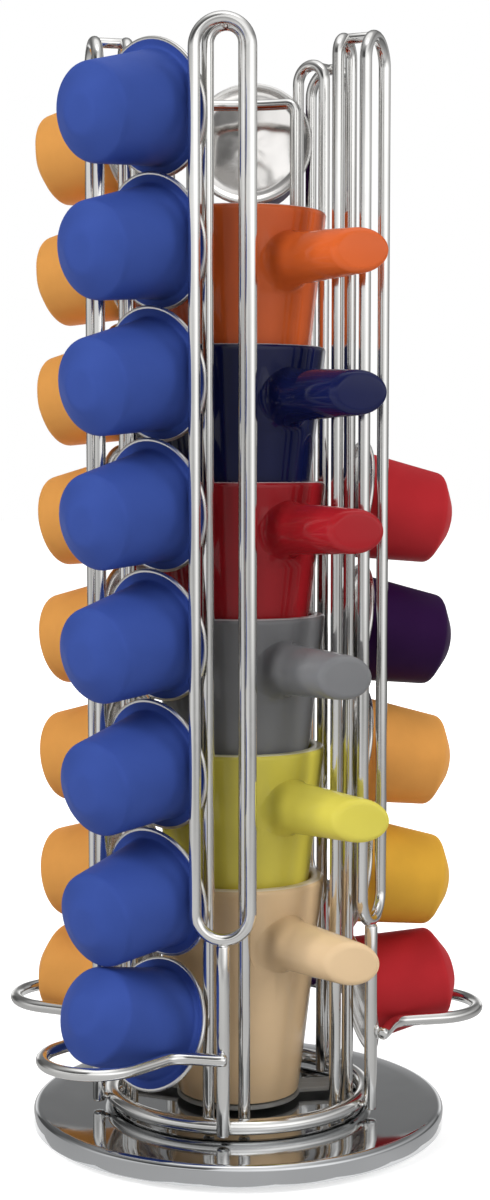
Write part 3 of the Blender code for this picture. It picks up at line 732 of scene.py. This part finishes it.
def make_station(name):
    """Post, outer loop, inner loop and the spacer between the loops."""
    azimuth = station(name)
    side = sideways(azimuth)
    post_length = OUTER_BOTTOM - LOOP_WIRE + POST_SINK - POST_BOTTOM
    post = [place(azimuth, POST_RADIUS, 0, POST_BOTTOM + share * post_length) for share in POST_SHARES]
    wire("upright_" + name, post, POST_WIRE, "post_" + name)
    top = place(azimuth, POST_RADIUS, 0, LOOP_TOP - OUTER_HALF)
    bottom = place(azimuth, POST_RADIUS, 0, OUTER_BOTTOM + OUTER_HALF)
    loop = arc(top, side, UP, OUTER_HALF, 0, math.pi, WIRE_BEND_STEPS)
    loop += arc(bottom, side, UP, OUTER_HALF, math.pi, 2 * math.pi, WIRE_BEND_STEPS)
    wire("long_loop_" + name, loop, LOOP_WIRE, "outer_loop_" + name, closed=True)
    top = place(azimuth, INNER_RADIUS, 0, LOOP_TOP - INNER_HALF)
    hoop = [place(azimuth, INNER_RADIUS, INNER_HALF, INNER_LEG_BOTTOM)]
    hoop += arc(top, side, UP, INNER_HALF, 0, math.pi, WIRE_BEND_STEPS)
    hoop += [place(azimuth, INNER_RADIUS, -INNER_HALF, INNER_LEG_BOTTOM)]
    wire("hoop_" + name, hoop, LOOP_WIRE, "inner_loop_" + name)
    spacer = [place(azimuth, distance, 0, LOOP_TOP) for distance in (INNER_RADIUS, POST_RADIUS)]
    wire("spacer_" + name, spacer, SPACER_WIRE, sides=SPACER_SIDES)


def make_bridge():
    """Cross wire with its two legs, bowed outwards past the cups."""
    azimuth = column("back")
    distance = INNER_RADIUS * math.cos(PITCH / 2) + INNER_HALF * math.sin(PITCH / 2) - BRIDGE_INSET
    lateral = INNER_RADIUS * math.sin(PITCH / 2) - INNER_HALF * math.cos(PITCH / 2)
    half = lateral - math.sqrt((LOOP_WIRE + FIT_GAP + BRIDGE_WIRE) ** 2 - BRIDGE_INSET ** 2)
    out, side = outward(azimuth), sideways(azimuth)
    across, inwards = math.cos(BRIDGE_BEND), math.sin(BRIDGE_BEND)
    bow_radius = (half - BRIDGE_CORNER * across) / inwards
    bow_distance = distance + BRIDGE_CORNER * inwards - bow_radius * across
    legs = []
    for hand in (1, -1):
        way = side * (hand * across) - out * inwards
        foot = place(azimuth, distance, hand * half, BRIDGE_HEIGHT - BRIDGE_LEG)
        bend = place(azimuth, distance, hand * half, BRIDGE_HEIGHT - BRIDGE_CORNER) - way * BRIDGE_CORNER
        legs.append([foot] + arc(bend, way, UP, BRIDGE_CORNER, 0, math.pi / 2, BRIDGE_CORNER_STEPS)[:-1])
    bow = arc(place(azimuth, bow_distance, 0, BRIDGE_HEIGHT), out, side, bow_radius,
              BRIDGE_BEND, -BRIDGE_BEND, WIRE_BEND_STEPS)
    wire("bridge", legs[0] + bow + legs[1][::-1], BRIDGE_WIRE, "back_bridge")


def stop_lobe(azimuth):
    """One lobe of the stop wire, from post to post round a column."""
    out, side = outward(azimuth), sideways(azimuth)
    curves = []
    for hand in (-1, 1):
        at_post = azimuth + hand * PITCH / 2
        post = place(at_post, STOP_RADIUS, 0, STOP_HEIGHT)
        bend = place(azimuth, STOP_START, hand * STOP_HALF, STOP_HEIGHT)
        post_way = sideways(at_post) * (-hand * STOP_POST_EASE)
        curves.append(eased(post, post_way, bend, out * STOP_SIDE_EASE, STOP_SIDE_STEPS))
    end = arc(place(azimuth, STOP_END, 0, STOP_HEIGHT), -side, out, STOP_HALF, 0, math.pi, STOP_LOBE_STEPS)
    return curves[0] + end + curves[1][::-1]


def make_stop_wire():
    """One wire bent into a lobe for each column, its ends a little past the posts."""
    line = []
    for name in COLUMN_AFTER:
        lobe = stop_lobe(column(name))
        line += lobe[1:] if line else lobe
    line.insert(0, line[0] - sideways(station("right")) * STOP_OVERSHOOT)
    line.append(line[-1] + sideways(station("front")) * STOP_OVERSHOOT)
    wire("retaining_wire", line, STOP_WIRE, "stop_wire")


def weld_mesh(name, length, radius):
    """Small rippled spindle of weld metal, upright at the origin."""
    profile = straight([(0, -length)])
    for share in WELD_SHARES:
        swell = math.sqrt(1 - share * share) * (1 + WELD_RIPPLE_SHARE * math.cos(WELD_RIPPLES * share))
        profile += straight([(radius * swell, length * share)])
    profile += straight([(0, length)])
    return lathe(name, profile, WELD_SIDES, ["chrome"], WELD_SHARP_ANGLE)


def make_welds():
    """Weld metal where wires meet side by side."""
    upright = weld_mesh("weld_upright", UPRIGHT_WELD_LENGTH, UPRIGHT_WELD_RADIUS)
    flat = weld_mesh("weld_flat", FLAT_WELD_LENGTH, FLAT_WELD_RADIUS)

    def weld(place_name, mesh, point, turn):
        piece("weld_" + place_name, mesh, "tower", [], Matrix.Translation(point * MM) @ turn)

    for name in STATIONS:
        azimuth = station(name)
        across = Matrix.Rotation(azimuth, 4, 'Z') @ Matrix.Rotation(math.pi / 2, 4, 'Y')
        middle = place(azimuth, RING_RADIUS + RING_WIRE + WELD_STAND_OFF, 0, RING_HEIGHT)
        weld("ring_post_" + name, flat, middle, across)
        for hand, mark in ((-1, "a"), (1, "b")):
            foot = place(azimuth, INNER_RADIUS + LOOP_WIRE + WELD_STAND_OFF, hand * INNER_HALF, RING_HEIGHT)
            weld("ring_hoop_" + name + "_" + mark, flat, foot, across)
        touch = place(azimuth, POST_RADIUS + POST_WIRE + WELD_STAND_OFF, 0, STOP_HEIGHT)
        weld("stop_post_" + name, upright, touch, Matrix())


# Capsules


def fold(radius, angle):
    """How far the foil is raised at a point, by two sets of folds that run round it."""
    folds = sum(weight * math.sin(count * angle + twist * radius) for count, twist, weight in FOLD_WAVES)
    return FOLD_HEIGHT * (folds + FOLD_LIFT) * math.sin(math.pi * radius / FOLD_REACH)


def capsule_mesh(tint):
    """Capsule with its lid at the origin and its nose up: foil, rolled rim, coloured body."""
    foil, rim, body = range(3)
    profile = straight(FOIL_OUTLINE, foil)
    profile += straight([(FLANGE_RADIUS, FLANGE_HEIGHT)], rim)
    profile += rounding(*ROLL_CENTRE, ROLL_RADIUS, *ROLL_ANGLES, ROLL_STEPS, rim)
    profile += straight(COLLAR_OUTLINE + WALL_OUTLINE + NOSE_OUTLINE, body)
    mesh = lathe(tint, profile, CAPSULE_SIDES, ["foil", "silver", tint], CAPSULE_SHARP_ANGLE)
    for vertex in mesh.vertices:
        radius = math.hypot(vertex.co.x, vertex.co.y) / MM
        if vertex.co.z < FOLDED_HEIGHT * MM and radius < FOLDED_RADIUS:
            vertex.co.z += fold(radius, math.atan2(vertex.co.y, vertex.co.x)) * MM
    return mesh


def capsule_frame(node):
    """How a capsule lies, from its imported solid: its lid's centre and its turn from nose up."""
    points = np.array([vertex.co for vertex in frame["nodes"][node].data.vertices], float)
    points = np.unique(points.round(SAME_POINT_DIGITS), axis=0)
    centre = points.mean(0)
    values, vectors = np.linalg.eigh(np.cov((points - centre).T))
    gaps = [abs(values[1] - values[2]), abs(values[0] - values[2]), abs(values[0] - values[1])]
    axis = vectors[:, int(np.argmin(gaps))]
    along = (points - centre) @ axis
    radial = np.linalg.norm(points - centre - along[:, None] * axis, axis=1)
    if along[radial > LID_END_SHARE * radial.max()].mean() > 0:
        axis, along = -axis, -along
    lid = centre + axis * along.min()
    turn = UP.rotation_difference(Vector(axis))
    return Matrix.Translation(Vector(lid)), turn.to_matrix().to_4x4()


def make_capsules():
    """A dressed capsule in place of each packed one, on the same body and in the same slot."""
    slots = {entry["node"]: entry["material_slot"] for entry in frame["record"]["subparts"]}
    members = frame["record"]["behaviour"]["bodies"]
    bodies = {node: body for body, nodes in members.items() for node in nodes}
    meshes = {tint: capsule_mesh(tint) for tint in ANODISED}
    for node in sorted(frame["nodes"]):
        if node.startswith("capsule_"):
            tint = slots[node]
            lid, turn = capsule_frame(node)
            mesh = meshes[tint].copy()
            mesh.transform(turn)
            piece(node.replace("capsule_", "pod_"), mesh, bodies[node], [node], lid)


# Cups


def handle_blank(name, height, material):
    """Round peg towards +X that spreads into the wall, longer than the handle."""
    wall = CUP_FOOT + height * CUP_SLOPE
    neck = wall + HANDLE_NECK_LENGTH
    root = wall - HANDLE_ROOT_DEPTH
    far = HANDLE_REACH + HANDLE_OVERRUN
    taper = (HANDLE_NECK - HANDLE_TIP) / (HANDLE_REACH - neck)
    profile = [(0, root - FIT_GAP), (HANDLE_SPREAD, root - FIT_GAP)]
    for step in range(HANDLE_SPREAD_STEPS + 1):
        angle = math.pi / 2 * step / HANDLE_SPREAD_STEPS
        profile.append((HANDLE_SPREAD - (HANDLE_SPREAD - HANDLE_NECK) * math.sin(angle),
                        neck - (neck - root) * math.cos(angle)))
    profile += [(HANDLE_NECK - taper * (far - neck), far), (0, far)]
    mesh = lathe(name, straight(profile), HANDLE_SIDES, [material])
    mesh.transform(Matrix.Translation((0, 0, height * MM)) @ Matrix.Rotation(math.pi / 2, 4, 'Y'))
    return mesh


def handle_mesh(name, azimuth, height, material):
    """Peg handle whose end is cut square to the front of the tower and well eased."""
    mesh = handle_blank(name, height, material)
    work = bmesh.new()
    work.from_mesh(mesh)
    normal = Matrix.Rotation(-azimuth, 3, 'Z') @ Vector((1, 0, 0))
    centre = Vector((HANDLE_REACH, 0, height)) * MM
    cut = bmesh.ops.bisect_plane(work, geom=work.verts[:] + work.edges[:] + work.faces[:], plane_co=centre,
                                 plane_no=normal, clear_outer=True)
    edges = [item for item in cut["geom_cut"] if isinstance(item, bmesh.types.BMEdge)]
    bmesh.ops.edgeloop_fill(work, edges=edges)
    bmesh.ops.bevel(work, geom=edges, offset=HANDLE_END_EASE * MM, segments=HANDLE_END_STEPS,
                    affect='EDGES', profile=0.5)
    work.to_mesh(mesh)
    work.free()
    return mesh


def cup_profile():
    """Outline of a cup from under its floor, up the outside, over the lip and down the inside."""
    glazed, pale, bare = range(3)
    ring = CUP_FOOT - CUP_RING_WIDTH
    profile = straight([(0, CUP_RECESS)], glazed)
    profile += straight([(ring - inset, height) for inset, height in CUP_COVE], glazed)
    profile += straight([(ring - inset, height) for inset, height in CUP_RING_EDGE], bare)
    profile += straight([(CUP_FOOT - CUP_FOOT_EDGE[0], CUP_FOOT_EDGE[1])], bare)
    profile += straight([(CUP_FOOT - CUP_FOOT_CORNER[0], CUP_FOOT_CORNER[1])], glazed)
    lip_height = CUP_HEIGHT - CUP_LIP
    outer = CUP_FOOT + lip_height * CUP_SLOPE
    inner = outer - CUP_WALL
    for height in CUP_OUTSIDE_HEIGHTS + (lip_height,):
        profile += straight([(CUP_FOOT + height * CUP_SLOPE, height)], glazed)
    profile += rounding(outer - CUP_LIP, lip_height, CUP_LIP, *CUP_LIP_OUTSIDE, glazed)
    profile += rounding(outer - CUP_LIP, lip_height, CUP_LIP, *CUP_LIP_TOP_OUTSIDE, pale)
    profile += rounding(inner + CUP_LIP, lip_height, CUP_LIP, *CUP_LIP_TOP_INSIDE, pale)
    profile += rounding(inner + CUP_LIP, lip_height, CUP_LIP, *CUP_LIP_INSIDE, glazed)
    for height in (lip_height,) + CUP_INSIDE_HEIGHTS:
        profile += straight([(CUP_FOOT + height * CUP_SLOPE - CUP_WALL, height)], glazed)
    floor_radius = CUP_FOOT + CUP_FLOOR * CUP_SLOPE - CUP_WALL
    profile += rounding(floor_radius - CUP_FILLET + CUP_FILLET_LEAN, CUP_FLOOR + CUP_FILLET, CUP_FILLET,
                        0, -90, CUP_FILLET_STEPS, glazed)
    return profile + straight([(0, CUP_FLOOR)], glazed)


def make_cups():
    """Each cup turned to its handle's azimuth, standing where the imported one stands."""
    for name, (degrees, drop) in HANDLES.items():
        azimuth = math.radians(degrees)
        materials = [name, name + "_lip", "bisque"]
        body = lathe(name + "_body", cup_profile(), CUP_SIDES, materials, CUP_SHARP_ANGLE)
        peg = handle_mesh(name + "_peg", azimuth, CUP_HEIGHT - drop, name)
        mesh = joined(body, peg, name, 'UNION', CUP_SHARP_ANGLE)
        mesh.transform(Matrix.Rotation(azimuth - math.pi / 2, 4, 'Z'))
        low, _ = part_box(name)
        standing = Matrix.Translation((0, 0, low.z))
        piece("glazed_" + name, mesh, name + "_body", [name], standing)


make_foot()
make_base()
make_washer()
make_rivet()
make_hub()
make_ring()
for station_name in STATIONS:
    make_station(station_name)
make_bridge()
make_stop_wire()
make_welds()
make_capsules()
make_cups()


# Camera, floor, light and surroundings

scene = bpy.context.scene


def staged(name, data):
    """Add something that isn't part of the object to the scene."""
    item = bpy.data.objects.new(name, data)
    scene.collection.objects.link(item)
    return item


def make_camera():
    """Camera a little above the tower's middle, tilted slightly down."""
    lens = bpy.data.cameras.new("camera")
    lens.sensor_fit = 'VERTICAL'
    lens.sensor_height = SENSOR_HEIGHT
    lens.lens = FOCAL_LENGTH
    lens.shift_x = LENS_SHIFT_X
    lens.shift_y = LENS_SHIFT_Y
    lens.clip_start = CLIP_START
    camera = staged("camera", lens)
    camera.location = (0, -CAMERA_DISTANCE * MM, CAMERA_HEIGHT * MM)
    camera.rotation_euler = (math.pi / 2 - CAMERA_TILT, 0, 0)
    scene.camera = camera


def calculated(tree, operation, first, second):
    """Result of two values."""
    node = tree.nodes.new("ShaderNodeMath")
    node.operation = operation
    tree.links.new(first, node.inputs[0])
    tree.links.new(second, node.inputs[1])
    return node.outputs["Value"]


def seen_directly(tree):
    """1 for camera, glossy and transmission rays, otherwise 0."""
    rays = tree.nodes.new("ShaderNodeLightPath").outputs
    seen = calculated(tree, 'MAXIMUM', rays["Is Camera Ray"], rays["Is Glossy Ray"])
    return calculated(tree, 'MAXIMUM', seen, rays["Is Transmission Ray"])


def make_world():
    """White where it is seen, and a weak even fill for the object."""
    world = bpy.data.worlds.new("world")
    world.use_nodes = True
    tree = world.node_tree
    background = tree.nodes["Background"]
    background.inputs["Color"].default_value = (1, 1, 1, 1)
    strength = mapped(tree, seen_directly(tree), (0, 1), (FILL_STRENGTH, WHITE_STRENGTH))
    tree.links.new(strength, background.inputs["Strength"])
    scene.world = world


def floor_material():
    """Plain pale paper that fades to white away from the object, so that only its shadow shows."""
    paper = bpy.data.materials.new("paper")
    paper.use_nodes = True
    tree = paper.node_tree
    shader = tree.nodes["Principled BSDF"]
    shader.inputs["Base Color"].default_value = (FLOOR_TONE, FLOOR_TONE, FLOOR_TONE, 1)
    shader.inputs["Roughness"].default_value = FLOOR_ROUGHNESS
    shader.inputs["Emission Color"].default_value = (1, 1, 1, 1)
    away = tree.nodes.new("ShaderNodeVectorMath")
    away.operation = 'LENGTH'
    tree.links.new(tree.nodes.new("ShaderNodeTexCoord").outputs["Object"], away.inputs["Vector"])
    glow = mapped(tree, away.outputs["Value"], (GLOW_NEAR, GLOW_FAR), (GLOW_AT_OBJECT, GLOW_AWAY))
    strength = calculated(tree, 'MULTIPLY', seen_directly(tree), glow)
    tree.links.new(strength, shader.inputs["Emission Strength"])
    return paper


def make_floor():
    """Wide floor just under the rubber pad."""
    mesh = bpy.data.meshes.new("floor")
    signs = ((-1, -1), (1, -1), (1, 1), (-1, 1))
    corners = [(x * FLOOR_HALF, y * FLOOR_HALF, -FLOOR_DROP) for x, y in signs]
    mesh.from_pydata(corners, [], [tuple(range(len(corners)))])
    mesh.materials.append(floor_material())
    staged("floor", mesh)


def room_material():
    """Glow as strong as the mesh's own grey at each point."""
    card = bpy.data.materials.new("room")
    card.use_nodes = True
    tree = card.node_tree
    tree.nodes.remove(tree.nodes["Principled BSDF"])
    glow = tree.nodes.new("ShaderNodeEmission")
    reader = tree.nodes.new("ShaderNodeAttribute")
    reader.attribute_name = "tone"
    tree.links.new(reader.outputs["Fac"], glow.inputs["Strength"])
    tree.links.new(glow.outputs["Emission"], tree.nodes["Material Output"].inputs["Surface"])
    return card


def make_room():
    """Shell of soft greys round the stage, seen by reflections alone."""
    points, greys, faces = [], [], []
    width = len(ROOM_AZIMUTHS)
    for row, (distance, height, tones) in enumerate(ROOM_ROWS):
        for step, (azimuth, tone) in enumerate(zip(ROOM_AZIMUTHS, tones)):
            points.append(place(math.radians(azimuth), distance, 0, height))
            greys.append(tone)
            if row and step:
                last = row * width + step
                faces.append((last - width - 1, last - width, last, last - 1))
    mesh = bpy.data.meshes.new("room")
    mesh.from_pydata(points, [], faces)
    mesh.attributes.new("tone", 'FLOAT', 'POINT').data.foreach_set("value", greys)
    mesh.materials.append(room_material())
    item = staged("room", mesh)
    item.visible_camera = False
    item.visible_diffuse = False
    item.visible_shadow = False
    item.visible_transmission = False


def softbox(name, azimuth, elevation, distance, width, height, power):
    """Soft light that faces the object, itself unseen in reflections."""
    data = bpy.data.lights.new(name, 'AREA')
    data.shape = 'RECTANGLE'
    data.size = width
    data.size_y = height
    data.energy = power
    item = staged(name, data)
    tilt = math.radians(elevation)
    way = outward(math.radians(azimuth)) * math.cos(tilt) + Vector((0, 0, math.sin(tilt)))
    item.location = way * distance + Vector((0, 0, AIM_HEIGHT))
    item.rotation_mode = 'QUATERNION'
    item.rotation_quaternion = way.to_track_quat('Z', 'Y')
    item.visible_glossy = False


make_camera()
make_world()
make_floor()
make_room()
for box_name, box_values in SOFTBOXES.items():
    softbox(box_name, *box_values)
scene.view_settings.view_transform = 'Standard'
